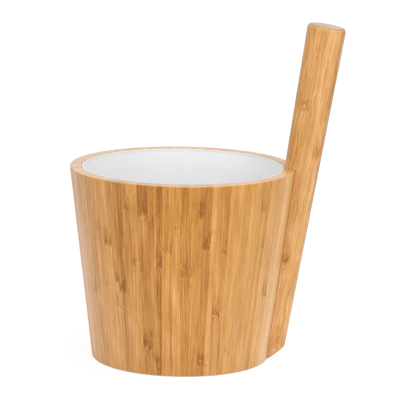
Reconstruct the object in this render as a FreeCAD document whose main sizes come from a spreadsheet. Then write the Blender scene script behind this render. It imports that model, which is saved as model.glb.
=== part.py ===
import FreeCAD, Part
import os
import Sketcher
from FreeCAD import Placement, Rotation, Vector

# A coopered bamboo sauna bucket. Eighteen staves of laminated bamboo are glued edge to edge
# and turned to a cone, a base board sits in a groove near their foot, a white plastic liner
# stands on the base, and one round bamboo handle is coped to the wall and sits on the rim.
# All lengths are in millimetres and all angles in degrees.
#
# Frame: the origin is the middle of the foot, on the surface that the bucket stands on.
# +Z is up along the bucket's axis and +X points to the handle.

document = FreeCAD.newDocument("sauna_bucket")

# Driving sizes

SIZES = [
    ("rim_diameter", 240.0, "outside of the wall at the rim"),
    ("foot_diameter", 188.0, "outside of the wall at the foot"),
    ("bucket_height", 207.5, "foot to rim"),
    ("wall_thickness", 12.4, "stave thickness, measured level"),
    ("stave_count", 18, "staves round the wall"),
    ("joint_offset", 5.0, "angle from the handle to the nearest glue joint"),
    ("rim_round", 1.5, "rounding of the rim's outer edge"),
    ("rim_inner_round", 0.8, "rounding of the rim's inner edge"),
    ("foot_round", 3.0, "rounding of the foot's outer edge"),
    ("foot_recess", 6.0, "base board above the foot"),
    ("base_thickness", 9.0, "base board"),
    ("base_chamfer", 0.8, "chamfer of the base board's edges"),
    ("groove_depth", 5.0, "groove for the base board, into the wall"),
    ("groove_clearance", 0.25, "room round and over the base board in its groove"),
    ("liner_wall", 2.0, "plastic wall, measured level"),
    ("liner_floor", 2.5, "plastic floor"),
    ("liner_clearance", 0.6, "liner to staves, measured level"),
    ("liner_drop", 0.4, "rim down to the liner's lip"),
    ("lip_clearance", 0.15, "lip to staves, measured level"),
    ("lip_depth", 6.0, "height of the lip"),
    ("lip_round", 0.9, "rounding of the lip's top edges"),
    ("liner_foot_round", 10.0, "rounding outside the liner's floor"),
    ("handle_offset_rim", 6.5, "handle axis outside the wall, at rim height"),
    ("handle_offset_foot", 0.9, "handle axis outside the wall, at foot height"),
    ("handle_foot_diameter", 30.0, "handle across, at foot height"),
    ("handle_top_diameter", 41.3, "handle across, at its top end"),
    ("grip_length", 153.7, "handle above the rim, along its axis"),
    ("handle_top_round", 4.0, "rounding of the handle's top end"),
    ("handle_foot_round", 3.0, "rounding of the handle's sawn lower end"),
    ("bevel_angle", 34.0, "slope of the handle's lower end, up and outward"),
    ("bevel_start", 1.3, "lower end above the foot, at the wall"),
    ("glue_gap", 0.2, "glue film between handle and wall, measured level"),
    ("screw_count", 2, "screws that hold the handle"),
    ("screw_low", 58.0, "height of the lowest screw's head"),
    ("screw_pitch", 86.0, "from one screw to the next, upward"),
    ("screw_head_diameter", 8.4, "countersunk head"),
    ("screw_head_land", 0.5, "straight edge of the head"),
    ("screw_core_diameter", 3.6, "shank"),
    ("screw_point", 4.5, "length of the point"),
    ("screw_bite", 12.5, "depth in the handle"),
    ("screw_sink", 0.8, "head below the wall's inner face"),
    ("screw_clearance", 0.1, "screw to the holes it passes through"),
    ("recess_span", 4.6, "cross recess of the head, tip to tip"),
    ("recess_slot", 1.1, "width of the recess's slots"),
    ("recess_depth", 1.8, "depth of the recess"),
]

sheet = document.addObject("Spreadsheet::Sheet", "Sizes")
for row, (alias, number, meaning) in enumerate(SIZES, start=1):
    sheet.set("A%d" % row, alias)
    sheet.set("B%d" % row, str(number))
    sheet.setAlias("B%d" % row, alias)
    sheet.set("C%d" % row, meaning)
document.recompute()


def number_of(formula):
    """The value of a formula on the sheet, as a plain number."""
    result = sheet.evalExpression(formula)
    return float(getattr(result, "Value", result))


# Formulas that several pieces share. Each is text that is bound to the sheet.

RIM = "Sizes.rim_diameter / 2"
FOOT = "Sizes.foot_diameter / 2"
HEIGHT = "Sizes.bucket_height"
TAPER = "((Sizes.rim_diameter - Sizes.foot_diameter) / 2 / Sizes.bucket_height)"
WALL_TILT = "atan(%s)" % TAPER


def outer_wall(level):
    """Outside radius of the staves at a level above the foot."""
    return "(%s + %s * (%s))" % (FOOT, TAPER, level)


def inner_wall(level):
    """Inside radius of the staves at a level above the foot."""
    return "(%s - Sizes.wall_thickness)" % outer_wall(level)


BASE_UNDER = "Sizes.foot_recess"
BASE_OVER = "(Sizes.foot_recess + Sizes.base_thickness)"
GROOVE_TOP = "(%s + Sizes.groove_clearance)" % BASE_OVER
GROOVE_RADIUS = "(%s + Sizes.groove_depth)" % inner_wall(BASE_UNDER)

# Modelling helpers


def origin_plane(body, role):
    """One of a body's own origin planes."""
    return next(item for item in body.Origin.OriginFeatures if item.Role == role)


def draw_outline(body, name, points, role="XZ_Plane"):
    """A sketch of one closed outline, with each corner bound to its two formulas."""
    sketch = body.newObject("Sketcher::SketchObject", name)
    sketch.AttachmentSupport = [(origin_plane(body, role), "")]
    sketch.MapMode = "FlatFace"
    corners = [Vector(number_of(across), number_of(up), 0) for across, up in points]
    count = len(corners)
    for here in range(count):
        sketch.addGeometry(Part.LineSegment(corners[here], corners[(here + 1) % count]), False)
    for here in range(count):
        meeting = Sketcher.Constraint("Coincident", here, 2, (here + 1) % count, 1)
        sketch.addConstraint(meeting)
    for here, formulas in enumerate(points):
        for kind, axis_line, formula in (("DistanceX", -2, formulas[0]), ("DistanceY", -1, formulas[1])):
            if formula == "0":
                sketch.addConstraint(Sketcher.Constraint("PointOnObject", here, 1, axis_line))
                continue
            size = Sketcher.Constraint(kind, -1, 1, here, 1, number_of(formula))
            placed = sketch.addConstraint(size)
            sketch.setExpression("Constraints[%d]" % placed, formula)
    return sketch


def turned(name, points, sweep="360"):
    """A body turned about Z from a half section. A part turn is centred on the XZ plane."""
    body = document.addObject("PartDesign::Body", name)
    section = draw_outline(body, name + "_section", points)
    turning = body.newObject("PartDesign::Revolution", name + "_turning")
    turning.Profile = section
    turning.ReferenceAxis = (section, ["V_Axis"])
    turning.Midplane = sweep != "360"
    turning.setExpression("Angle", sweep)
    document.recompute()
    return body


def circle_edges(shape, radius, level):
    """Names of the round edges of a given radius at a given level."""
    names = []
    for place, edge in enumerate(shape.Edges, start=1):
        curve = edge.Curve
        if not isinstance(curve, Part.Circle):
            continue
        if abs(curve.Radius - number_of(radius)) < 1e-4 and abs(curve.Center.z - number_of(level)) < 1e-4:
            names.append("Edge%d" % place)
    return names


def round_over(body, name, edges, radius):
    """Rounds the named edges of the body's last feature."""
    before = body.Tip
    rounding = body.newObject("PartDesign::Fillet", name)
    rounding.Base = (before, edges)
    rounding.setExpression("Radius", radius)
    document.recompute()


def chamfer(body, name, edges, size):
    """Chamfers the named edges of the body's last feature."""
    before = body.Tip
    sloping = body.newObject("PartDesign::Chamfer", name)
    sloping.Base = (before, edges)
    sloping.setExpression("Size", size)
    document.recompute()


def cut_from(name, piece, tool):
    """The piece with the tool's volume taken out of it."""
    cut = document.addObject("Part::Cut", name)
    cut.Base = piece
    cut.Tool = tool
    return cut


# Screw places: each axis is square to the wall, in the plane of the handle

SCREW_LENGTH = "(%s + Sizes.screw_bite)" % (
    "((Sizes.wall_thickness + Sizes.glue_gap) * cos(%s) - Sizes.screw_sink)" % WALL_TILT)
SCREW_HEAD = "(Sizes.screw_head_diameter / 2)"
SCREW_CORE = "(Sizes.screw_core_diameter / 2)"
HEAD_DEPTH = "(Sizes.screw_head_land + %s - %s)" % (SCREW_HEAD, SCREW_CORE)


def place_on_screw_axis(piece, order):
    """Puts a piece's Z axis on a screw's axis, with its origin at the head's flat face."""
    level = "(Sizes.screw_low + %d * Sizes.screw_pitch)" % order
    piece.Placement = Placement(Vector(0, 0, 0), Rotation(Vector(0, 1, 0), 90))
    piece.setExpression("Placement.Rotation.Angle", "90 deg + %s" % WALL_TILT)
    piece.setExpression("Placement.Base.x", "%s + Sizes.screw_sink * cos(%s)" % (inner_wall(level), WALL_TILT))
    piece.setExpression("Placement.Base.z", "%s - Sizes.screw_sink * sin(%s)" % (level, WALL_TILT))


def screw_hole(order):
    """The room that one screw needs: counterbore, countersink and a hole to past its point."""
    slack = "Sizes.screw_clearance"
    bore = "(%s + %s)" % (SCREW_CORE, slack)
    head = "(%s + %s)" % (SCREW_HEAD, slack)
    hole = turned("screw_hole_%d" % (order + 1), [
        ("0", "0 - Sizes.wall_thickness"),
        (head, "0 - Sizes.wall_thickness"),
        (head, "Sizes.screw_head_land"),
        (bore, HEAD_DEPTH),
        (bore, "%s + Sizes.screw_point / 4" % SCREW_LENGTH),
        ("0", "%s + Sizes.screw_point / 4" % SCREW_LENGTH),
    ])
    place_on_screw_axis(hole, order)
    return hole


def screw_holes():
    """All the screw holes as one cutting tool."""
    holes = [screw_hole(order) for order in range(int(number_of("Sizes.screw_count")))]
    tool = document.addObject("Part::Compound", "screw_holes")
    tool.Links = holes
    return tool


# Pieces


def stave(order):
    """One stave: a wedge of the turned wall, with the groove for the base board."""
    name = "stave_%02d" % (order + 1)
    step = "(360 / Sizes.stave_count)"
    body = turned(name, [
        (FOOT, "0"),
        (RIM, HEIGHT),
        (inner_wall(HEIGHT), HEIGHT),
        (inner_wall(GROOVE_TOP), GROOVE_TOP),
        (GROOVE_RADIUS, GROOVE_TOP),
        (GROOVE_RADIUS, BASE_UNDER),
        (inner_wall(BASE_UNDER), BASE_UNDER),
        (inner_wall("0"), "0"),
    ], step)
    edges = circle_edges(body.Shape, RIM, HEIGHT)
    round_over(body, name + "_rim_edge", edges, "Sizes.rim_round")
    edges = circle_edges(body.Shape, inner_wall(HEIGHT), HEIGHT)
    round_over(body, name + "_inner_edge", edges, "Sizes.rim_inner_round")
    edges = circle_edges(body.Shape, FOOT, "0")
    round_over(body, name + "_foot_edge", edges, "Sizes.foot_round")
    body.setExpression("Placement.Rotation.Angle", "%s * %.1f - Sizes.joint_offset" % (step, order + 0.5))
    return body


def base_board():
    """The round base board, its rim held in the staves' groove."""
    radius = "(%s - Sizes.groove_clearance)" % GROOVE_RADIUS
    body = turned("base", [
        ("0", BASE_UNDER),
        (radius, BASE_UNDER),
        (radius, BASE_OVER),
        ("0", BASE_OVER),
    ])
    edges = circle_edges(body.Shape, radius, BASE_UNDER) + circle_edges(body.Shape, radius, BASE_OVER)
    chamfer(body, "base_edges", edges, "Sizes.base_chamfer")
    return body


def plastic_liner():
    """The moulded liner: it follows the staves, stands on the base and has a thicker lip."""
    top = "(%s - Sizes.liner_drop)" % HEIGHT
    lip = "(%s - Sizes.lip_depth)" % top
    floor = "(%s + Sizes.liner_floor)" % BASE_OVER

    def outside(level, clearance):
        return "(%s - %s)" % (inner_wall(level), clearance)

    def inside(level):
        return "(%s - Sizes.liner_clearance - Sizes.liner_wall)" % inner_wall(level)

    body = turned("liner", [
        ("0", BASE_OVER),
        (outside(BASE_OVER, "Sizes.liner_clearance"), BASE_OVER),
        (outside(lip, "Sizes.liner_clearance"), lip),
        (outside(lip, "Sizes.lip_clearance"), lip),
        (outside(top, "Sizes.lip_clearance"), top),
        (inside(top), top),
        (inside(floor), floor),
        ("0", floor),
    ])
    edges = circle_edges(body.Shape, outside(BASE_OVER, "Sizes.liner_clearance"), BASE_OVER)
    round_over(body, "liner_foot_edge", edges, "Sizes.liner_foot_round")
    edges = circle_edges(body.Shape, inside(floor), floor)
    round_over(body, "liner_floor_edge", edges, "Sizes.liner_foot_round - Sizes.liner_wall")
    edges = circle_edges(body.Shape, outside(top, "Sizes.lip_clearance"), top)
    edges += circle_edges(body.Shape, inside(top), top)
    round_over(body, "liner_lip_edges", edges, "Sizes.lip_round")
    return body


def handle_rod():
    """The tapered rod of the handle, notched and coped so that it sits on the rim and wall."""
    lean = "atan((%s + Sizes.handle_offset_rim - %s - Sizes.handle_offset_foot) / %s)" % (RIM, FOOT, HEIGHT)
    rod_length = "(%s / cos(%s) + Sizes.grip_length)" % (HEIGHT, lean)
    overrun = "Sizes.handle_foot_diameter"
    foot_radius = "(Sizes.handle_foot_diameter / 2)"
    top_radius = "(Sizes.handle_top_diameter / 2)"
    low_radius = "(%s - (%s - %s) * %s / %s)" % (foot_radius, top_radius, foot_radius, overrun, rod_length)

    def on_rod(along, across):
        """A point of the rod's section, from its distance along and across the axis."""
        level = "%s * cos(%s) - %s * sin(%s)" % (along, lean, across, lean)
        reach = "%s + Sizes.handle_offset_foot + %s * sin(%s) + %s * cos(%s)" % (FOOT, along, lean, across, lean)
        return reach, level

    body = document.addObject("PartDesign::Body", "handle_rod")
    section = draw_outline(body, "rod_section", [
        on_rod("(0 - %s)" % overrun, "0"),
        on_rod("(0 - %s)" % overrun, "(0 - %s)" % low_radius),
        on_rod(rod_length, "(0 - %s)" % top_radius),
        on_rod(rod_length, "0"),
    ])
    turning = body.newObject("PartDesign::Revolution", "rod_turning")
    turning.Profile = section
    turning.ReferenceAxis = (section, ["Edge4"])
    turning.Angle = 360
    document.recompute()
    top_edge = max(range(len(turning.Shape.Edges)), key=lambda place: turning.Shape.Edges[place].CenterOfMass.z)
    round_over(body, "rod_top_edge", ["Edge%d" % (top_edge + 1)], "Sizes.handle_top_round")

    # The lower end is sawn off on a slope that rises away from the wall.
    reach = "Sizes.handle_foot_diameter * 1.5"
    run_in = "Sizes.handle_foot_diameter"
    under = "0 - 2 * Sizes.handle_foot_diameter"
    bevel = draw_outline(body, "bevel_outline", [
        ("%s - %s" % (FOOT, run_in), "Sizes.bevel_start - %s * tan(Sizes.bevel_angle)" % run_in),
        ("%s + %s" % (FOOT, reach), "Sizes.bevel_start + %s * tan(Sizes.bevel_angle)" % reach),
        ("%s + %s" % (FOOT, reach), under),
        ("%s - %s" % (FOOT, run_in), under),
    ])
    sawing = body.newObject("PartDesign::Pocket", "bevel_cut")
    sawing.Profile = bevel
    sawing.Type = "ThroughAll"
    sawing.Midplane = True
    document.recompute()

    # Everything inside the bucket's outer face is cut away up to the rim, which leaves a
    # shoulder on the rim and a hollow face against the wall.
    cope = draw_outline(body, "cope_outline", [
        ("0", under),
        ("%s + Sizes.glue_gap" % outer_wall(under), under),
        ("%s + Sizes.glue_gap" % RIM, HEIGHT),
        ("0", HEIGHT),
    ], "YZ_Plane")
    coping = body.newObject("PartDesign::Groove", "cope_cut")
    coping.Profile = cope
    coping.ReferenceAxis = (cope, ["V_Axis"])
    coping.Angle = 360
    document.recompute()

    # The outer edge of the sawn end is rounded. It is the longest elliptical edge.
    edges = coping.Shape.Edges
    ovals = [place for place, edge in enumerate(edges, start=1) if isinstance(edge.Curve, Part.Ellipse)]
    sawn_edge = max(ovals, key=lambda place: edges[place - 1].Length)
    round_over(body, "bevel_edge", ["Edge%d" % sawn_edge], "Sizes.handle_foot_round")
    return body


def screw(order):
    """One countersunk wood screw with a cross recess."""
    name = "screw_%d" % (order + 1)
    body = turned(name, [
        ("0", "0"),
        (SCREW_HEAD, "0"),
        (SCREW_HEAD, "Sizes.screw_head_land"),
        (SCREW_CORE, HEAD_DEPTH),
        (SCREW_CORE, "%s - Sizes.screw_point" % SCREW_LENGTH),
        ("0", SCREW_LENGTH),
    ])
    tip = "Sizes.recess_span / 2"
    side = "Sizes.recess_slot / 2"
    cross = draw_outline(body, name + "_recess", [
        (tip, side), (side, side), (side, tip),
        ("0 - " + side, tip), ("0 - " + side, side), ("0 - " + tip, side),
        ("0 - " + tip, "0 - " + side), ("0 - " + side, "0 - " + side), ("0 - " + side, "0 - " + tip),
        (side, "0 - " + tip), (side, "0 - " + side), (tip, "0 - " + side),
    ], "XY_Plane")
    driving = body.newObject("PartDesign::Pocket", name + "_recess_cut")
    driving.Profile = cross
    driving.Reversed = True
    driving.setExpression("Length", "Sizes.recess_depth")
    document.recompute()
    place_on_screw_axis(body, order)
    return body


def screw_set():
    """The screws that hold the handle, as one group of separate solids."""
    group = document.addObject("Part::Compound", "handle_screws")
    group.Links = [screw(order) for order in range(int(number_of("Sizes.screw_count")))]
    return group


# Assembly: the stave behind the handle and the handle itself are drilled for the screws

holes = screw_holes()
staves = [stave(order) for order in range(int(number_of("Sizes.stave_count")))]
nodes = {body.Name: body for body in staves}
nodes["stave_01"] = cut_from("stave_01_drilled", staves[0], holes)
nodes["base"] = base_board()
nodes["liner"] = plastic_liner()
nodes["handle"] = cut_from("handle", handle_rod(), holes)
nodes["handle_screws"] = screw_set()
document.recompute()
staves[0].Label = "stave_01_blank"
for label, piece in nodes.items():
    piece.Label = label

# Checks before anything is written

for item in document.Objects:
    if "Invalid" in item.State or "Error" in item.State:
        raise RuntimeError("%s failed: %s" % (item.Label, item.State))
for label, piece in nodes.items():
    if piece.Shape.isNull() or not piece.Shape.isValid() or not piece.Shape.Solids:
        raise RuntimeError("%s has no valid solid" % label)

os.makedirs("parts", exist_ok=True)
for label, piece in nodes.items():
    piece.Shape.exportStep("parts/%s.step" % label)
    print("%s: %d solid(s), %.1f mm3" % (label, len(piece.Shape.Solids), piece.Shape.Volume))
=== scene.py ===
import math
import random
from collections import namedtuple

import bpy
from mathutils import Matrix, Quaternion, Vector

# Looks for a coopered bamboo sauna bucket. The CAD solids stay as they are and get their finish
# here: laminated bamboo for the staves, base and handle, white plastic for the liner and steel
# for the screws. Lengths in the materials are in millimetres, and everything else is in metres.

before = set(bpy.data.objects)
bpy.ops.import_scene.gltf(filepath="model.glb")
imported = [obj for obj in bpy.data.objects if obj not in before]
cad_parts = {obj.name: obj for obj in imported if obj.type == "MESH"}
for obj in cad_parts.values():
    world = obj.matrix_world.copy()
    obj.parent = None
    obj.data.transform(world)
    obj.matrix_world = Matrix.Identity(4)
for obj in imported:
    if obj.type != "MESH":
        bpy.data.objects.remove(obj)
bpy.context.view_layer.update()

MM = 0.001
WHITE = (1, 1, 1, 1)

# Sizes of the bucket that the finish follows, in millimetres and degrees

FOOT_RADIUS = 94.0
RIM_RADIUS = 120.0
BUCKET_HEIGHT = 207.5
STAVE_COUNT = 18
STAVE_STEP = 360 / STAVE_COUNT
# The first joint lies this far before the X axis.
JOINT_OFFSET = 5.0
# Where the handle's axis passes the levels of the foot and the rim
HANDLE_FOOT_X = 94.9
HANDLE_RIM_X = 126.5

# The wall's and the handle's lean, in radians

WALL_TILT = math.atan((RIM_RADIUS - FOOT_RADIUS) / BUCKET_HEIGHT)
HANDLE_LEAN = math.atan((HANDLE_RIM_X - HANDLE_FOOT_X) / BUCKET_HEIGHT)

# Sockets of the Mix node, which has the same names for numbers and colours

MIX_FACTOR = 0
MIX_NUMBERS = (2, 3)
MIX_NUMBER_RESULT = 0
MIX_COLOURS = (6, 7)
MIX_COLOUR_RESULT = 2


class NodeTree:
    """A node tree, with a short method for each kind of node that is used here."""

    def __init__(self, tree):
        self.nodes = tree.nodes
        self.links = tree.links

    def feed(self, socket, value):
        """Links a socket to another node's output, or sets it to a constant."""
        if isinstance(value, bpy.types.NodeSocket):
            self.links.new(value, socket)
        else:
            socket.default_value = value

    def add(self, kind, **settings):
        node = self.nodes.new("ShaderNode" + kind)
        for setting, value in settings.items():
            setattr(node, setting, value)
        return node

    def math(self, operation, first, second=0.0, third=0.0, clamp=False):
        node = self.add("Math", operation=operation, use_clamp=clamp)
        for socket, value in zip(node.inputs, (first, second, third)):
            self.feed(socket, value)
        return node.outputs["Value"]

    def total(self, first, *others):
        """The sum of several numbers."""
        for other in others:
            first = self.math("ADD", first, other)
        return first

    def product(self, first, *others):
        """The product of several numbers."""
        for other in others:
            first = self.math("MULTIPLY", first, other)
        return first

    def scaled(self, value, factor, offset=0.0):
        """The value times a factor plus an offset."""
        return self.math("MULTIPLY_ADD", value, factor, offset)

    def centred(self, noise, width):
        """Noise from 0 to 1 spread over a width that has 0 in its middle."""
        return self.scaled(noise, width, -0.5 * width)

    def blend(self, factor, low, high):
        """A number that goes from low to high as the factor goes from 0 to 1."""
        node = self.add("Mix", data_type="FLOAT")
        self.feed(node.inputs[MIX_FACTOR], factor)
        self.feed(node.inputs[MIX_NUMBERS[0]], low)
        self.feed(node.inputs[MIX_NUMBERS[1]], high)
        return node.outputs[MIX_NUMBER_RESULT]

    def blend_colour(self, factor, low, high):
        """A colour that goes from low to high as the factor goes from 0 to 1."""
        node = self.add("Mix", data_type="RGBA")
        self.feed(node.inputs[MIX_FACTOR], factor)
        self.feed(node.inputs[MIX_COLOURS[0]], low)
        self.feed(node.inputs[MIX_COLOURS[1]], high)
        return node.outputs[MIX_COLOUR_RESULT]

    def fade(self, value, start, end, low=0.0, high=1.0, interpolation="SMOOTHSTEP"):
        """A step from low to high as the value goes from start to end."""
        node = self.add("MapRange", interpolation_type=interpolation)
        for socket, number in zip(node.inputs[0:5], (value, start, end, low, high)):
            self.feed(socket, number)
        return node.outputs["Result"]

    def fade_out(self, value, start, end):
        """A smooth step from 1 to 0 as the value goes from start to end."""
        return self.fade(value, start, end, 1.0, 0.0)

    def split(self, vector):
        node = self.add("SeparateXYZ")
        self.feed(node.inputs[0], vector)
        return node.outputs[0], node.outputs[1], node.outputs[2]

    def join(self, across, depth, along):
        node = self.add("CombineXYZ")
        for socket, value in zip(node.inputs, (across, depth, along)):
            self.feed(socket, value)
        return node.outputs["Vector"]

    def length(self, vector):
        node = self.add("VectorMath", operation="LENGTH")
        self.feed(node.inputs[0], vector)
        return node.outputs["Value"]

    def noise(self, across, depth, along, detail=2.0, roughness=0.5):
        """Soft noise, from 0 to 1, of a point whose three numbers are already scaled."""
        node = self.add("TexNoise")
        self.feed(node.inputs["Vector"], self.join(across, depth, along))
        node.inputs["Scale"].default_value = 1.0
        node.inputs["Detail"].default_value = detail
        node.inputs["Roughness"].default_value = roughness
        return node.outputs["Fac"]

    def fibres(self, point, size, shift=0.0, detail=1.0, roughness=0.5):
        """Soft noise, from 0 to 1, with patches of a size in millimetres across, deep and along."""
        across = self.scaled(point[0], 1 / size[0], shift)
        depth = self.scaled(point[1], 1 / size[1])
        along = self.scaled(point[2], 1 / size[2])
        return self.noise(across, depth, along, detail, roughness)

    def cells(self, vector, scale):
        """The distance to the nearest of many scattered points."""
        node = self.add("TexVoronoi", feature="F1")
        self.feed(node.inputs["Vector"], vector)
        node.inputs["Scale"].default_value = scale
        return node.outputs["Distance"]

    def ramp(self, factor, stops, interpolation="LINEAR"):
        """A colour ramp. Each stop is a place from 0 to 1 and a colour of four numbers."""
        node = self.add("ValToRGB")
        elements = node.color_ramp.elements
        node.color_ramp.interpolation = interpolation
        elements.remove(elements[1])
        elements[0].position, elements[0].color = stops[0]
        for position, colour in stops[1:]:
            element = elements.new(position)
            element.color = colour
        self.feed(node.inputs["Fac"], factor)
        return node.outputs["Color"], node.outputs["Alpha"]


class Shading(NodeTree):
    """A material's node tree."""

    def __init__(self, name):
        self.material = bpy.data.materials.new(name)
        self.material.use_nodes = True
        super().__init__(self.material.node_tree)
        self.shader = self.nodes["Principled BSDF"]

    def place(self, rotation_z=0.0):
        """The point on the object in millimetres, turned about Z."""
        mapping = self.add("Mapping", vector_type="POINT")
        mapping.inputs["Rotation"].default_value = (0.0, 0.0, rotation_z)
        self.feed(mapping.inputs["Vector"], self.add("TexCoord").outputs["Object"])
        node = self.add("VectorMath", operation="SCALE")
        self.feed(node.inputs[0], mapping.outputs["Vector"])
        node.inputs["Scale"].default_value = 1 / MM
        return self.split(node.outputs["Vector"])

    def bump(self, height, distance, strength):
        node = self.add("Bump")
        self.feed(node.inputs["Height"], height)
        node.inputs["Distance"].default_value = distance
        node.inputs["Strength"].default_value = strength
        self.feed(self.shader.inputs["Normal"], node.outputs["Normal"])


def wall_distance(shading):
    """The distance in millimetres outside the wall's face, and above the rim the height too."""
    x, y, z = shading.place()
    wall_radius = shading.scaled(z, math.tan(WALL_TILT), FOOT_RADIUS)
    outside = shading.math("SUBTRACT", shading.length(shading.join(x, y, 0.0)), wall_radius)
    over_rim = shading.math("MAXIMUM", shading.scaled(z, 1.0, -BUCKET_HEIGHT), 0.0)
    return shading.total(outside, over_rim)


def handle_distance(shading):
    """The distance in millimetres, in plan, from the handle's axis where it passes the rim."""
    x, y, _z = shading.place()
    return shading.length(shading.join(shading.scaled(x, 1.0, -HANDLE_RIM_X), y, 0.0))


# Bamboo: colours and tones. A tone goes from 0 for the darkest to 1 for the palest.

# Colours at rising tones, as linear light: of the yellower and the rosier strips
GOLDEN_TONES = [
    (0.0, (0.26, 0.082, 0.004, 1)),
    (0.25, (0.42, 0.166, 0.020, 1)),
    (0.5, (0.575, 0.267, 0.054, 1)),
    (0.75, (0.70, 0.366, 0.106, 1)),
    (1.0, (0.84, 0.52, 0.21, 1)),
]
ROSY_TONES = [
    (0.0, (0.27, 0.094, 0.014, 1)),
    (0.25, (0.42, 0.188, 0.047, 1)),
    (0.5, (0.575, 0.290, 0.100, 1)),
    (0.75, (0.70, 0.390, 0.165, 1)),
    (1.0, (0.83, 0.54, 0.285, 1)),
]
# Colours of the sawn ends at rising tones
END_TONES = [
    (0.0, (0.25, 0.12, 0.05, 1)),
    (0.5, (0.64, 0.40, 0.22, 1)),
    (1.0, (0.86, 0.66, 0.46, 1)),
]

# A strip's width, its tone, the heights of its two knots, how strongly they show, and how strongly
# the line after it shows: dark above 0, pale below
Strip = namedtuple("Strip", "width tone low_knot high_knot strength line")

# A strip's colour in a ramp also holds its knots' heights, counted from this far below the foot
# and as shares of this length.
KNOT_MARGIN = 60.0
KNOT_SPAN = 330.0
# A knot at one of these heights isn't on the stave.
NONE_LOW = -55.0
NONE_HIGH = 262.0

# The size of noise is that of its patches across, deep and along the grain, in millimetres.

# How far the edges of the strips wander
WANDER_SIZE = (20, 20, 90)
WANDER_WIDTH = 1.8
# Lines between strips. In their ramp this grey stands for no line.
MIDDLE_GREY = 0.5
LINE_WIDTH = 0.5
LINE_TONE = -0.20
# Lines and joints are broken up. Where noise is below these levels, only this share shows.
LINE_BREAK_SIZE = (6, 6, 30)
LINE_BREAKS = (0.35, 0.6)
BROKEN_LINE = 0.2
# Distances over which the tone of a joint fades, and the painted light on the handle next to the wall,
# which lifts the shade where the two meet
JOINT_WIDTH = (0.1, 0.7)
SEAM_WIDTH = (0.5, 4.0)
# Heights between which a piece's tone and hue go from those of the top to those of the foot. This is
# painted light: the wall is mostly paler and rosier towards the foot, standing in for the light and
# sheen thrown up by the white floor.
TOP_TO_FOOT = (215.0, 0.0)

# Each strip's fibres are moved aside by its own draw, and each piece's by its seed.
SHIFT_BY_DRAW = 400.0
SHIFT_BY_SEED = 13.0

# Layers of fibres: the noise's size, detail and roughness, and how much they change the tone
Layer = namedtuple("Layer", "size detail roughness amount")
BROAD = Layer((3.4, 12.0, 120.0), 2.0, 0.5, 0.36)
STREAK = Layer((1.4, 5.0, 60.0), 3.0, 0.62, 0.60)
MEDIUM = Layer((0.75, 2.5, 36.0), 2.0, 0.6, 0.56)
FINE = Layer((0.26, 0.6, 8.0), 2.0, 0.6, 0.54)
CLOUD = Layer((14, 20, 42), 2.0, 0.5, 0.34)
FLECK = Layer((0.6, 1.2, 9.0), 1.0, 0.5, -0.10)
FLECK_EDGE = (0.62, 0.80)
# Broad flames, where the cut runs through a wide strip's face
FLAME_SIZE = (8, 8, 55)

# Noise that makes the edges of knots ragged
RAGGED_SIZE = (1.7, 4.0, 14.0)
RAGGED_WIDTH = 18.0
# The sway of the fibres round a knot, and the distances over which it fades
KNOT_REACH = (2.0, 16.0)
BEND_SIZE = (3.0, 4.0, 9.0)
BEND_WIDTH = 7.0
BEND_SEED = 5.0
# The dark blotch over a knot: the heights over which it sets in and fades, how fast it fades, how
# it grows with the knot's strength, and how much its patches and the rest of it darken the tone
BLOTCH_BELOW = (-7.0, -1.0)
BLOTCH_ABOVE = (1.0, 30.0)
BLOTCH_TAPER = 2.0
BLOTCH_GAIN = 1.5
BLOTCH_SIZE = (2.4, 6.0, 13.0)
BLOTCH_EDGE = (0.42, 0.62)
BLOTCH_TONE = 0.31
BLOTCH_REST = 0.03
# Small curls, dark and pale, close round a point just under the knot's middle
CURL_SIZE = (1.3, 2.0, 2.4)
CURL_DROP = 2.5
CURL_REACH = (2.0, 9.0)
CURL_TONE = 1.1
CURL_DARKER = -0.59
# The pale arc below a knot: how much its patches and the rest of it lighten the tone
ARC_DROP = 7.0
ARC_REACH = (0.4, 1.8)
ARC_TONE = 0.10
ARC_REST = 0.04

# Sawn ends, where dark bundles of fibres lie in a paler ground. How squarely a face lies across
# the grain says how far it is a sawn end, or the rounded edge of one.
END_SPREAD = 0.3
# The rounded edge of a sawn end lies where the facing passes between these two, and gets a painted
# highlight.
ARRIS_IN = (0.15, 0.5)
ARRIS_OUT = (0.80, 0.97)
BUNDLE_SCALE = 1.15
BUNDLE_EDGE = (0.16, 0.42)
BUNDLE_TONE = -0.16
BUNDLE_DRAW = 9.0
GROUND_SIZE = (2.0, 2.0, 1.0)
GROUND_WIDTH = 0.34
# The tone of a sawn end is this share of its strip's tone and this much more.
END_SHARE = 0.45
END_TONE = 0.27
END_ROUGHNESS = 0.26
# Distances from the handle's axis over which the painted reflection of the handle beside it ends, and
# heights over which the painted light on a sawn end near the foot begins
CORNER_REACH = (38.0, 50.0)
FOOT_END_HEIGHT = (60.0, 25.0)

# How much a strip's own draw changes its share of the rosier colours
HUE_BY_DRAW = 0.4
# Gloss, and the parts of the bump
BAMBOO_IOR = 1.4
GRAIN_ROUGHNESS = 0.14
BUMP_FINE = 0.6
BUMP_MEDIUM = 0.5
BUMP_GROOVE = -0.6
BUMP_KNOT = 0.25
BUMP_BUNDLE = -0.5
BAMBOO_BUMP = 0.10 * MM
BAMBOO_BUMP_STRENGTH = 0.5


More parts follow.
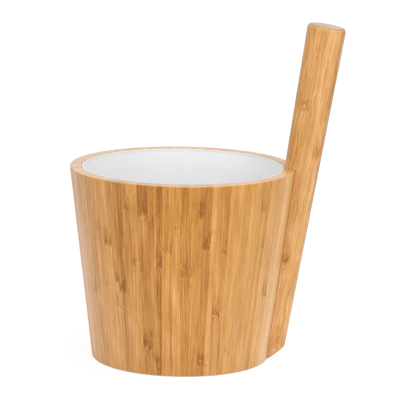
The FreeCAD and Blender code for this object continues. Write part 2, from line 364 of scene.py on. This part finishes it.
class Look:
    """What sets a piece's bamboo apart. A piece names only what differs from these."""

    tone = 0.0        # change in tone overall
    contrast = 1.0    # how strongly the fibres show
    roughness = 0.38
    rosy = 0.32       # share of the rosier colours
    figure = 0.0      # how far the flames push the fibres aside, in millimetres
    top = -0.05       # change in tone at the rim, the darker end of the painted light from the floor
    foot = 0.06       # change in tone at the foot: painted light bounced up from the white floor
    foot_rosy = 0.35  # further share of the rosier colours at the foot: painted sheen from the white floor
    joint = -0.16     # change in tone along the joints at a stave's sides
    seam_painted_light = 0.0  # painted light where the handle meets the wall, lifting the shade there
    end = -0.12       # change in tone on the sawn ends
    foot_end_painted_light = 0.0    # painted light on a sawn end near the foot, lifting the shade it lies in
    end_from = 0.30   # how far a face has to turn along the grain to start being a sawn end
    arris_highlight = 0.11      # painted highlight on the rounded edge of a sawn end
    handle_reflection = 0.0      # how fully the sawn end beside the handle takes the side grain's deeper colour: a painted reflection of the handle there

    def __init__(self, **differences):
        for name, value in differences.items():
            setattr(self, name, value)


def grey(value):
    """A grey as a colour of four numbers."""
    return (value, value, value, 1.0)


class Bamboo(Shading):
    """Laminated bamboo, with its strips listed across the piece from its left side."""

    def __init__(self, name, strips, left, place, seed, look, along_span=KNOT_SPAN):
        super().__init__(name)
        self.strips = strips
        self.left = left
        self.span = sum(strip.width for strip in strips)
        self.along_span = along_span
        self.seed = seed
        self.look = look
        self.depth, self.across, self.along = place(self)
        self.point = (self.across, self.depth, self.along)
        # The edges of the strips wander a little.
        wander = self.fibres(self.point, WANDER_SIZE, seed)
        self.strayed = self.total(self.across, self.centred(wander, WANDER_WIDTH))

    def strip_ramp(self, stops, interpolation="LINEAR"):
        """A colour ramp that runs once across all the strips."""
        place = self.scaled(self.strayed, 1 / self.span, -self.left / self.span)
        return self.ramp(place, stops, interpolation)

    def read_strips(self):
        """Reads what is constant across a strip: its tone, its knots and a draw of its own."""
        stops, edge = [], 0.0
        for strip in self.strips:
            low = (strip.low_knot + KNOT_MARGIN) / self.along_span
            high = (strip.high_knot + KNOT_MARGIN) / self.along_span
            stops.append((edge / self.span, (strip.tone, low, high, strip.strength)))
            edge += strip.width
        colour, self.strength = self.strip_ramp(stops, "CONSTANT")
        self.tone, low, high = self.split(colour)
        draw = self.add("TexWhiteNoise", noise_dimensions="3D")
        self.feed(draw.inputs["Vector"], colour)
        self.draw = draw.outputs["Value"]
        self.shift = self.scaled(self.draw, SHIFT_BY_DRAW, self.seed * SHIFT_BY_SEED)
        self.low_knot = self.scaled(low, self.along_span, -KNOT_MARGIN)
        self.high_knot = self.scaled(high, self.along_span, -KNOT_MARGIN)

    def find_knot(self):
        """Finds how far above the nearer of its strip's two knots each point lies."""
        low, high = self.low_knot, self.high_knot
        middle = self.scaled(self.total(low, high), 0.5)
        knot = self.blend(self.math("GREATER_THAN", self.along, middle), low, high)
        ragged = self.fibres(self.point, RAGGED_SIZE, self.seed, detail=3.0)
        above = self.math("SUBTRACT", self.along, knot)
        self.above_knot = self.total(above, self.centred(ragged, RAGGED_WIDTH))
        self.near_knot = self.fade_out(self.math("ABSOLUTE", self.above_knot), *KNOT_REACH)

    def layer_noise(self, layer, point):
        return self.fibres(point, layer.size, self.shift, layer.detail, layer.roughness)

    def lay_fibres(self):
        """Makes the layers of fibres, which bend round the knots and sway in the flames."""
        bend = self.fibres(self.point, BEND_SIZE, self.seed + BEND_SEED)
        bend = self.product(self.centred(bend, BEND_WIDTH), self.near_knot, self.strength)
        fibre_across = self.total(self.strayed, bend)
        if self.look.figure:
            flame = self.fibres(self.point, FLAME_SIZE, self.seed, detail=2.0)
            fibre_across = self.total(fibre_across, self.centred(flame, self.look.figure))
        fibre = (fibre_across, self.depth, self.along)
        self.medium = self.layer_noise(MEDIUM, fibre)
        self.fine = self.layer_noise(FINE, fibre)
        self.cloud = self.layer_noise(CLOUD, self.point)
        self.layers = [
            (self.layer_noise(BROAD, fibre), BROAD.amount),
            (self.layer_noise(STREAK, fibre), STREAK.amount),
            (self.medium, MEDIUM.amount),
            (self.fine, FINE.amount),
            (self.cloud, CLOUD.amount),
        ]
        self.fleck = self.fade(self.layer_noise(FLECK, fibre), *FLECK_EDGE)

    def from_knot(self, drop):
        """The distance along the strip from a point this far below the knot's middle."""
        return self.math("ABSOLUTE", self.scaled(self.above_knot, 1.0, drop))

    def knot_tone(self):
        """The change in tone that a knot makes: a blotch, small curls and a pale arc."""
        body = self.math("POWER", self.fade_out(self.above_knot, *BLOTCH_ABOVE), BLOTCH_TAPER)
        body = self.product(self.fade(self.above_knot, *BLOTCH_BELOW), body)
        blotch = self.fibres(self.point, BLOTCH_SIZE, self.seed, detail=3.0, roughness=0.6)
        blotch = self.fade(blotch, *BLOTCH_EDGE)
        body = self.product(body, self.scaled(blotch, BLOTCH_TONE, BLOTCH_REST))
        body = self.product(body, self.math("POWER", self.strength, BLOTCH_GAIN))
        curls = self.fibres(self.point, CURL_SIZE, self.seed, detail=2.0, roughness=0.6)
        curls = self.scaled(curls, CURL_TONE, CURL_DARKER)
        close = self.fade_out(self.from_knot(CURL_DROP), *CURL_REACH)
        curls = self.product(curls, close, self.strength)
        arc = self.fade_out(self.from_knot(ARC_DROP), *ARC_REACH)
        arc = self.product(arc, self.strength, self.scaled(blotch, ARC_TONE, ARC_REST))
        return self.total(self.math("SUBTRACT", curls, body), arc)

    def strip_lines(self):
        """How strongly the line between two strips shows: above 0 where dark, below 0 where pale."""
        stops, edge = [(0.0, grey(MIDDLE_GREY))], 0.0
        for strip in self.strips[:-1]:
            edge += strip.width
            stops.append(((edge - LINE_WIDTH) / self.span, grey(MIDDLE_GREY)))
            stops.append((edge / self.span, grey(MIDDLE_GREY + MIDDLE_GREY * strip.line)))
            stops.append(((edge + LINE_WIDTH) / self.span, grey(MIDDLE_GREY)))
        colour, _alpha = self.strip_ramp(stops)
        return self.scaled(colour, 1 / MIDDLE_GREY, -1.0)

    def side_tone(self, joint):
        """The tone of the long faces. It also keeps the grooves that the lines make in them."""
        look = self.look
        # Painted light: darker at the rim and paler at the foot, for light bounced up from the white
        # floor.
        side = self.total(self.tone, look.tone, self.fade(self.along, *TOP_TO_FOOT, look.top, look.foot))
        if look.seam_painted_light:
            # Painted light: the handle is paler where it meets the wall, to lift the shade that falls
            # where the two meet.
            light = self.fade(wall_distance(self), *SEAM_WIDTH, look.seam_painted_light, 0.0)
            side = self.total(side, light)
        for noise, amount in self.layers:
            side = self.total(side, self.centred(noise, amount * look.contrast))
        side = self.total(side, self.scaled(self.fleck, FLECK.amount * look.contrast), self.knot_tone())

        # The glue lines are broken up along their length.
        broken = self.fibres(self.point, LINE_BREAK_SIZE, self.seed, detail=2.0)
        broken = self.fade(broken, *LINE_BREAKS, BROKEN_LINE, 1.0)
        lines = self.product(self.strip_lines(), broken)
        side = self.total(side, self.scaled(lines, LINE_TONE))
        self.groove = self.math("MAXIMUM", lines, 0.0)
        if joint:
            seam = self.product(self.fade_out(joint(self), *JOINT_WIDTH), broken)
            side = self.total(side, self.scaled(seam, look.joint))
            self.groove = self.math("MAXIMUM", self.groove, seam)
        return side

    def side_height(self):
        """The bump of the long faces."""
        return self.total(
            self.scaled(self.fine, BUMP_FINE), self.scaled(self.medium, BUMP_MEDIUM),
            self.scaled(self.groove, BUMP_GROOVE), self.scaled(self.near_knot, BUMP_KNOT))

    def facing(self, axis):
        """How squarely a face lies across an axis, from 0 to 1."""
        node = self.add("VectorMath", operation="DOT_PRODUCT")
        self.feed(node.inputs[0], self.add("NewGeometry").outputs["Normal"])
        node.inputs[1].default_value = axis
        return self.math("ABSOLUTE", node.outputs["Value"])

    def end_share(self, facing):
        """How much of a face is end grain, from 0 to 1."""
        look = self.look
        end = self.fade(facing, look.end_from, look.end_from + END_SPREAD)
        if look.handle_reflection:
            # Painted reflection: beside the handle the sawn end takes the side grain's deeper colour,
            # for the handle mirrored there in place of the pale glare.
            clear = self.fade(handle_distance(self), *CORNER_REACH, 1.0 - look.handle_reflection, 1.0)
            end = self.product(end, clear)
        return end

    def bundles(self):
        """The bundles of fibres on a sawn end, as dots."""
        flat = self.join(
            self.total(self.across, self.shift), self.depth, self.scaled(self.draw, BUNDLE_DRAW))
        return self.fade_out(self.cells(flat, BUNDLE_SCALE), *BUNDLE_EDGE)

    def end_tone(self, arris_highlight, dots):
        """The tone of the sawn ends, with a painted highlight on their rounded edges."""
        look = self.look
        point = (self.across, self.depth, self.draw)
        ground = self.fibres(point, GROUND_SIZE, self.seed, detail=3.0)
        # A sawn end near the foot gets painted light, lifting the shade it lies in.
        return self.total(
            self.scaled(self.tone, END_SHARE, END_TONE + look.end),
            self.centred(ground, GROUND_WIDTH),
            self.fade(self.along, *FOOT_END_HEIGHT, 0.0, look.foot_end_painted_light),
            self.scaled(dots, BUNDLE_TONE),
            self.scaled(arris_highlight, look.arris_highlight))

    def side_colour(self, side):
        """The colour of the long faces at a tone, between golden and rosy."""
        golden, _alpha = self.ramp(side, GOLDEN_TONES)
        rosy, _alpha = self.ramp(side, ROSY_TONES)
        # The change in the share of rosier colours towards the foot is painted sheen from the white
        # floor.
        mood = self.total(
            self.scaled(self.draw, HUE_BY_DRAW, self.look.rosy - 0.5 * HUE_BY_DRAW),
            self.fade(self.along, *TOP_TO_FOOT, 0.0, self.look.foot_rosy))
        mood = self.math("ADD", mood, self.centred(self.cloud, 1.0), clamp=True)
        return self.blend_colour(mood, golden, rosy)

    def finish(self, end_axis=None, joint=None):
        """Puts the material together. Sawn ends are those that face along the end axis."""
        self.read_strips()
        self.find_knot()
        self.lay_fibres()
        side = self.side_tone(joint)
        rough = self.scaled(self.fine, GRAIN_ROUGHNESS, self.look.roughness - 0.5 * GRAIN_ROUGHNESS)
        height = self.side_height()
        if end_axis:
            facing = self.facing(end_axis)
            end = self.end_share(facing)
            # The rounded edge of a sawn end gets a painted highlight, in both the side and the end
            # colour.
            arris_highlight = self.product(self.fade(facing, *ARRIS_IN), self.fade_out(facing, *ARRIS_OUT))
            dots = self.bundles()
            sawn, _alpha = self.ramp(self.end_tone(arris_highlight, dots), END_TONES)
            side = self.total(side, self.scaled(arris_highlight, self.look.arris_highlight))
            rough = self.blend(end, rough, END_ROUGHNESS)
            height = self.blend(end, height, self.scaled(dots, BUMP_BUNDLE, -BUMP_BUNDLE))
            colour = self.blend_colour(end, self.side_colour(side), sawn)
        else:
            colour = self.side_colour(side)
        self.feed(self.shader.inputs["Base Color"], colour)
        self.feed(self.shader.inputs["Roughness"], rough)
        self.shader.inputs["IOR"].default_value = BAMBOO_IOR
        self.bump(height, BAMBOO_BUMP, BAMBOO_BUMP_STRENGTH)
        return self.material


def put_material(node, material):
    """Gives a CAD node a material in every slot that it has."""
    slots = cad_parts[node].data.materials
    if len(slots) == 0:
        slots.append(material)
    for place in range(len(slots)):
        slots[place] = material


# Staves

# The strips of the staves that face the camera, from left to right as seen from outside
FRONT_STRIPS = {
    1: [
        (9, 0.62, NONE_LOW, NONE_HIGH, 0.2, 0.1), (9, 0.64, NONE_LOW, NONE_HIGH, 0.3, 0.2),
        (8, 0.55, 60, 165, 0.6, 0.3), (9, 0.60, 25, 140, 0.8, 0.3), (9, 0.52, 75, 190, 0.7, 0.0),
    ],
    11: [
        (8, 0.65, NONE_LOW, 150, 0.2, 0.2), (9, 0.64, 70, 190, 0.3, 0.3),
        (8, 0.56, 40, NONE_HIGH, 0.3, 0.3), (9, 0.60, 86, NONE_HIGH, 0.6, 0.3),
        (10, 0.53, 88, NONE_HIGH, 0.7, 0.0),
    ],
    12: [
        (7, 0.54, 88, NONE_HIGH, 0.8, 0.2), (8, 0.57, NONE_LOW, 153, 0.5, 0.2),
        (5, 0.56, 97, NONE_HIGH, 0.6, 0.3), (10, 0.60, NONE_LOW, 143, 1.0, 0.2),
        (6, 0.45, 76, 104, 0.9, 0.3), (8, 0.41, 92, NONE_HIGH, 1.1, 0.0),
    ],
    13: [
        (8.3, 0.26, 94, NONE_HIGH, 1.1, 0.4), (8.6, 0.38, NONE_LOW, 185, 0.8, 0.3),
        (8.8, 0.52, NONE_LOW, 125, 0.5, 0.4), (11, 0.28, 32, 181, 1.6, 0.3),
        (7.3, 0.38, 22, 167, 0.8, 0.0),
    ],
    14: [
        (5.5, 0.46, 22, 174, 0.8, 0.3), (6, 0.22, 12, 124, 1.0, -0.5),
        (10.7, 0.47, NONE_LOW, 141, 0.6, 0.8), (8, 0.49, NONE_LOW, 167, 0.5, -0.3),
        (11.8, 0.40, NONE_LOW, 117, 0.9, 0.0),
    ],
    15: [
        (7.3, 0.47, NONE_LOW, 115, 0.7, 0.4), (7.4, 0.38, NONE_LOW, 179, 1.2, 0.2),
        (8, 0.33, 17, 147, 1.1, 0.6), (5.8, 0.59, 15, 160, 0.7, 0.3),
        (7.8, 0.49, 72, NONE_HIGH, 1.1, 0.4), (7.7, 0.39, NONE_LOW, 139, 0.8, 0.0),
    ],
    16: [
        (6, 0.56, NONE_LOW, NONE_HIGH, 0.3, 0.3), (4, 0.48, NONE_LOW, NONE_HIGH, 0.3, 0.4),
        (7.8, 0.60, 26, NONE_HIGH, 0.7, 0.3), (9.3, 0.52, NONE_LOW, 114, 0.5, 0.4),
        (7, 0.60, 42, NONE_HIGH, 0.5, 0.2), (9.9, 0.57, 42, NONE_HIGH, 0.4, 0.0),
    ],
    17: [
        (9, 0.54, NONE_LOW, 180, 1.0, 0.2), (4.5, 0.40, NONE_LOW, 140, 0.8, 0.3),
        (8, 0.59, NONE_LOW, NONE_HIGH, 0.3, 0.3), (9, 0.49, 84, NONE_HIGH, 1.0, 0.3),
        (13.5, 0.64, NONE_LOW, NONE_HIGH, 0.3, 0.0),
    ],
    # Stave 18's pale strips are partly its own tone and partly a painted highlight: the soft pale band
    # beside the handle.
    18: [
        (9, 0.68, NONE_LOW, 170, 0.3, 0.2), (8, 0.70, 110, NONE_HIGH, 0.4, 0.3),
        (9, 0.66, 22, NONE_HIGH, 0.6, 0.3), (18, 0.48, 80, NONE_HIGH, 0.4, 0.0),
    ],
}
# Staves whose colour, grain or gloss differs from the rest
STAVE_LOOKS = {
    1: Look(rosy=0.0, tone=0.03, joint=-0.04, handle_reflection=0.85),
    # Staves 10 to 12 are rosier partly for their own hue and partly as painted sheen, the pale
    # reflection that the left side catches at a grazing angle.
    10: Look(rosy=0.8),
    11: Look(rosy=0.9, contrast=1.15, tone=-0.03, top=-0.15, roughness=0.30),
    12: Look(rosy=0.6, contrast=1.15, tone=-0.03, top=-0.11),
    13: Look(rosy=0.3, contrast=1.2, top=-0.08),
    14: Look(rosy=0.22, contrast=1.2, tone=-0.05),
    15: Look(rosy=0.08, contrast=0.95, tone=-0.01),
    16: Look(rosy=0.24),
    # Staves 17 and 18 are paler partly for their own tone and partly as a painted highlight, the soft
    # pale band on the wall beside the handle; stave 18's rosier hue is painted sheen in that band too.
    17: Look(rosy=0.12, contrast=1.05, tone=0.08, top=-0.10, foot=0.10),
    18: Look(rosy=0.6, tone=0.16, top=-0.10, foot=0.10, joint=-0.04, handle_reflection=0.85),
}
STAVE_LEFT = -22.0
STAVE_SPREAD = 44.0
# Seeds: the draws' is this plus the stave's number, and the noise's is this times the number.
STAVE_DICE = 100
STAVE_SEED = 1.7
UP = (0, 0, 1)


def drawn_strips(dice, spread):
    """Strips for a stave that the photograph doesn't show."""
    strips, covered = [], 0.0
    while covered < spread:
        width = dice.uniform(5.0, 9.5)
        tone = min(0.66, max(0.32, dice.gauss(0.53, 0.08)))
        low_knot = dice.uniform(10, 105)
        high_knot = low_knot + dice.uniform(70, 125)
        strength = dice.uniform(0.4, 1.2)
        strips.append(Strip(width, tone, low_knot, high_knot, strength, dice.uniform(0.1, 0.7)))
        covered += width
    return strips


def leaned(shading, outward, up, lean):
    """How far out from a leaning axis a point lies, and how far along it."""
    out = shading.math(
        "SUBTRACT", shading.scaled(outward, math.cos(lean)), shading.scaled(up, math.sin(lean)))
    along = shading.total(
        shading.scaled(up, math.cos(lean)), shading.scaled(outward, math.sin(lean)))
    return out, along


def stave_material(number):
    """A stave's own bamboo. Across it, the middle is 0 and its left side is negative."""
    azimuth = math.radians(STAVE_STEP * (number - 0.5) - JOINT_OFFSET)
    if number in FRONT_STRIPS:
        strips = [Strip(*numbers) for numbers in FRONT_STRIPS[number]]
    else:
        strips = drawn_strips(random.Random(STAVE_DICE + number), STAVE_SPREAD)

    def place(shading):
        """Depth from the wall's face, and places across and along it, with 0 at the foot."""
        outward, across, up = shading.place(rotation_z=-azimuth)
        depth, along = leaned(shading, outward, up, WALL_TILT)
        return depth, across, shading.scaled(along, 1.0, -FOOT_RADIUS * math.sin(WALL_TILT))

    def joint(shading):
        """Distance from the nearer side of the stave."""
        outward, across, _up = shading.place(rotation_z=-azimuth)
        half = math.radians(STAVE_STEP / 2)
        reach = shading.scaled(outward, math.sin(half))
        return shading.math(
            "SUBTRACT", reach, shading.scaled(shading.math("ABSOLUTE", across), math.cos(half)))

    look = STAVE_LOOKS.get(number, Look())
    stave = Bamboo("bamboo_stave_%02d" % number, strips, STAVE_LEFT, place, number * STAVE_SEED, look)
    return stave.finish(end_axis=UP, joint=joint)


for number in range(1, STAVE_COUNT + 1):
    put_material("stave_%02d" % number, stave_material(number))

# Handle: wide strips that follow the rod's axis

HANDLE_STRIPS = [
    Strip(7.5, 0.42, 120, 300, 0.4, 0.3),
    Strip(10, 0.46, 17, 277, 1.0, 0.4),
    Strip(7, 0.51, 112, 400, 1.2, 0.5),
    Strip(5, 0.60, 20, 400, 1.2, 0.4),
    Strip(8, 0.61, 19, 229, 0.9, 0.0),
    # This last strip is dark partly from its own tone and partly as painted shade, for the handle's
    # right edge turning away from the light.
    Strip(7.5, 0.34, 18, 212, 0.8, 0.0),
]
HANDLE_LEFT = -22.5
HANDLE_SEED = 71.3
HANDLE_SPAN = 480.0
HANDLE_AXIS = (math.sin(HANDLE_LEAN), 0.0, math.cos(HANDLE_LEAN))
HANDLE_LOOK = Look(
    tone=0.03, contrast=1.35, rosy=0.62, figure=9.0, top=0.0, foot=0.06, foot_rosy=-0.1,
    seam_painted_light=0.12, end=-0.31, foot_end_painted_light=0.26, end_from=0.50, arris_highlight=0.03)


def handle_place(shading):
    """Depth toward the back, and places across to the right of the axis and along it upward."""
    outward, back, up = shading.place()
    from_axis = shading.scaled(outward, 1.0, -HANDLE_FOOT_X)
    across, along = leaned(shading, from_axis, up, HANDLE_LEAN)
    return back, across, along


handle_bamboo = Bamboo(
    "bamboo_handle", HANDLE_STRIPS, HANDLE_LEFT, handle_place, HANDLE_SEED, HANDLE_LOOK, HANDLE_SPAN)
put_material("handle", handle_bamboo.finish(end_axis=HANDLE_AXIS))

# Base board: flat strips that run along X

BASE_STRIP_COUNT = 10
BASE_LEFT = -92.0
BASE_DICE = 7
BASE_SEED = 33.1
BASE_KNOT_STEP = 90


def base_strips():
    """Wide strips for the base board, which the photograph doesn't show."""
    dice = random.Random(BASE_DICE)
    sizes = [(dice.uniform(17, 21), dice.uniform(-80, 20)) for _strip in range(BASE_STRIP_COUNT)]
    strips = []
    for width, knot in sizes:
        tone = min(0.65, max(0.35, dice.gauss(0.52, 0.07)))
        strips.append(Strip(width, tone, knot, knot + BASE_KNOT_STEP, dice.uniform(0.5, 1.1), 0.6))
    return strips


def base_place(shading):
    """Depth upward, and places across and along the board."""
    along, across, up = shading.place()
    return up, across, along


base_bamboo = Bamboo("bamboo_base", base_strips(), BASE_LEFT, base_place, BASE_SEED, Look())
put_material("base", base_bamboo.finish())

# Liner: white plastic that is a little darker and bluer below a line round it inside, with painted shade
# greying its lip

LINER_PALE = (0.82, 0.822, 0.83, 1)
LINER_DIM = (0.785, 0.787, 0.80, 1)
LINER_CLOUD_SCALE = 0.02
LINER_GRAIN_SCALE = 2.5
LINER_ROUGHNESS = 0.42
LINER_GRAIN_ROUGHNESS = 0.12
LINER_IOR = 1.46
# Heights in millimetres, and the shades that are mixed in, with their shares
DARKER_BELOW_HEIGHTS = (190.0, 188.8)
DARKER_BELOW_COLOUR = (0.42, 0.46, 0.52, 1)
DARKER_BELOW_SHARE = 0.05
# Painted shade: the lip is greyed to dim its highlight.
LIP_HEIGHTS = (203.6, 206.6)
LIP_SHADE = (0.42, 0.42, 0.42, 1)
LIP_SHARE = 0.32
SPECK_SCALE = 0.045
SPECK_EDGE = (0.006, 0.018)
SPECK_SHADE = (0.25, 0.24, 0.22, 1)
SPECK_SHARE = 0.35
LINER_BUMP_GRAIN = 0.25
LINER_BUMP_CLOUD = 4.0
LINER_BUMP = 0.05 * MM
LINER_BUMP_STRENGTH = 0.35


def even_noise(shading, point, scale, detail):
    """Noise whose patches are as long as they are wide."""
    x, y, z = point
    return shading.noise(
        shading.scaled(x, scale), shading.scaled(y, scale), shading.scaled(z, scale), detail)


def liner_material():
    """White satin plastic, with the faint unevenness of a moulding."""
    shading = Shading("liner_plastic")
    point = shading.place()
    height = point[2]
    cloud = even_noise(shading, point, LINER_CLOUD_SCALE, detail=3.0)
    grain = even_noise(shading, point, LINER_GRAIN_SCALE, detail=2.0)
    # The plastic is a little darker and bluer below a line round the inside.
    below = shading.fade(height, *DARKER_BELOW_HEIGHTS)
    # Painted shade greys the lip, dimming its highlight.
    lip_painted_shade = shading.fade(height, *LIP_HEIGHTS)
    specks = shading.fade_out(shading.cells(shading.join(*point), SPECK_SCALE), *SPECK_EDGE)
    colour = shading.blend_colour(cloud, LINER_DIM, LINER_PALE)
    colour = shading.blend_colour(shading.scaled(below, DARKER_BELOW_SHARE), colour, DARKER_BELOW_COLOUR)
    colour = shading.blend_colour(shading.scaled(lip_painted_shade, LIP_SHARE), colour, LIP_SHADE)
    colour = shading.blend_colour(shading.scaled(specks, SPECK_SHARE), colour, SPECK_SHADE)
    rough = shading.scaled(grain, LINER_GRAIN_ROUGHNESS, LINER_ROUGHNESS)
    shading.feed(shading.shader.inputs["Base Color"], colour)
    shading.feed(shading.shader.inputs["Roughness"], rough)
    shading.shader.inputs["IOR"].default_value = LINER_IOR
    bumps = shading.total(
        shading.scaled(grain, LINER_BUMP_GRAIN), shading.scaled(cloud, LINER_BUMP_CLOUD))
    shading.bump(bumps, LINER_BUMP, LINER_BUMP_STRENGTH)
    return shading.material


# Screws: stainless steel with turning marks

STEEL_PALE = (0.66, 0.66, 0.64, 1)
STEEL_DARK = (0.50, 0.50, 0.49, 1)
STEEL_ROUGHNESS = 0.25
STEEL_MARK_ROUGHNESS = 0.2
STEEL_BUMP = 0.03 * MM
STEEL_BUMP_STRENGTH = 0.5
# How much closer the marks lie along the screw than round it
TURNING_SCALE = 6.0


def screw_material():
    """Stainless steel with turning marks across the screw."""
    shading = Shading("screw_steel")
    x, y, z = shading.place()
    marks = shading.noise(shading.scaled(x, TURNING_SCALE), y, z)
    rough = shading.scaled(marks, STEEL_MARK_ROUGHNESS, STEEL_ROUGHNESS)
    colour = shading.blend_colour(marks, STEEL_DARK, STEEL_PALE)
    shading.feed(shading.shader.inputs["Base Color"], colour)
    shading.feed(shading.shader.inputs["Roughness"], rough)
    shading.shader.inputs["Metallic"].default_value = 1.0
    shading.bump(marks, STEEL_BUMP, STEEL_BUMP_STRENGTH)
    return shading.material


put_material("liner", liner_material())
put_material("handle_screws", screw_material())

# World and floor

WORLD_LIGHT = 0.60
FLOOR_SIDE = 24.0
FLOOR_ROUGHNESS = 0.9
# Just under the foot, so that the two faces don't lie in one plane
FLOOR_LEVEL = -0.0002
FLOOR_PAINT = (0.8, 0.8, 0.8, 1)
# To the camera the floor is dark paint that glows. Near the bucket the glow falls a little short
# of white, and the light on the paint makes up the rest, so that the shadow shows.
FLOOR_SEEN_PAINT = (0.12, 0.12, 0.12, 1)
FLOOR_GLOW_REACH = (0.4, 1.6)
FLOOR_GLOW = (0.90, 1.0)
# The glow that reflections see, on top of the pale paint
FLOOR_GLOSS_GLOW = 0.35


def make_world():
    """A studio that is white to the camera, to gloss and through glass, and dimmer as light."""
    world = bpy.data.worlds.new("studio")
    bpy.context.scene.world = world
    world.use_nodes = True
    tree = NodeTree(world.node_tree)
    path = tree.add("LightPath")
    seen = path.outputs["Is Camera Ray"]
    for ray in ("Is Glossy Ray", "Is Transmission Ray"):
        seen = tree.math("MAXIMUM", seen, path.outputs[ray])
    background = tree.nodes["Background"]
    background.inputs["Color"].default_value = WHITE
    tree.feed(background.inputs["Strength"], tree.blend(seen, WORLD_LIGHT, 1.0))


def make_floor():
    """A wide pale floor that looks white and keeps the bucket's shadow."""
    bpy.ops.mesh.primitive_plane_add(size=FLOOR_SIDE, location=(0, 0, FLOOR_LEVEL))
    floor = bpy.context.object
    floor.name = "floor"
    shading = Shading("floor_white")
    shader = shading.shader
    shader.inputs["Roughness"].default_value = FLOOR_ROUGHNESS
    shader.inputs["Specular IOR Level"].default_value = 0.0
    shader.inputs["Emission Color"].default_value = WHITE
    path = shading.add("LightPath")
    seen = path.outputs["Is Camera Ray"]
    paint = shading.blend_colour(seen, FLOOR_PAINT, FLOOR_SEEN_PAINT)
    shading.feed(shader.inputs["Base Color"], paint)
    distance = shading.length(shading.add("TexCoord").outputs["Object"])
    glow = shading.fade(distance, *FLOOR_GLOW_REACH, *FLOOR_GLOW, interpolation="LINEAR")
    gloss_glow = shading.product(path.outputs["Is Glossy Ray"], FLOOR_GLOSS_GLOW)
    shading.feed(shader.inputs["Emission Strength"], shading.scaled(seen, glow, gloss_glow))
    floor.data.materials.append(shading.material)


# Lamps, each with its place, what it points at, its side and its power

BUCKET_MIDDLE = (0.02, 0.0, 0.15)
BUCKET_FOOT = (0.0, 0.0, 0.0)
LAMPS = {
    "key": ((0.6, -2.2, 1.6), BUCKET_MIDDLE, 1.2, 23.8),
    "fill": ((-1.6, -1.5, 0.9), BUCKET_MIDDLE, 1.4, 11.0),
    "low": ((0.45, -1.5, 0.12), BUCKET_FOOT, 0.8, 3.5),
    "top": ((0.4, 0.2, 1.9), BUCKET_MIDDLE, 1.4, 17.0),
}


def turn_from_to(place, aim):
    """The turn that points a lamp or camera from its place to its aim."""
    return (Vector(aim) - Vector(place)).to_track_quat("-Z", "Y")


def add_lamp(name, place, aim, side, power):
    """A square lamp that the camera doesn't see."""
    lamp = bpy.data.lights.new(name, "AREA")
    lamp.shape = "SQUARE"
    lamp.size = side
    lamp.energy = power
    holder = bpy.data.objects.new(name, lamp)
    bpy.context.scene.collection.objects.link(holder)
    holder.location = place
    holder.rotation_mode = "QUATERNION"
    holder.rotation_quaternion = turn_from_to(place, aim)
    holder.visible_camera = False


# Camera, fitted to the photograph's angle

CAMERA_PLACE = (-0.0003, -3.1426, 0.7760)
CAMERA_AIM = (0.0189, 0.0, 0.1706)
CAMERA_ROLL = math.radians(0.97)
CAMERA_LENS = 270.8
CAMERA_SENSOR = 36.0
CAMERA_SEES = (0.05, 60.0)


def make_camera():
    camera_data = bpy.data.cameras.new("camera")
    camera_data.sensor_width = CAMERA_SENSOR
    camera_data.lens = CAMERA_LENS
    camera_data.clip_start, camera_data.clip_end = CAMERA_SEES
    camera = bpy.data.objects.new("camera", camera_data)
    bpy.context.scene.collection.objects.link(camera)
    camera.location = CAMERA_PLACE
    camera.rotation_mode = "QUATERNION"
    roll = Quaternion((0, 0, 1), CAMERA_ROLL)
    camera.rotation_quaternion = turn_from_to(CAMERA_PLACE, CAMERA_AIM) @ roll
    bpy.context.scene.camera = camera


make_world()
make_floor()
for name, settings in LAMPS.items():
    add_lamp(name, *settings)
make_camera()

bpy.context.scene.view_settings.view_transform = "Standard"
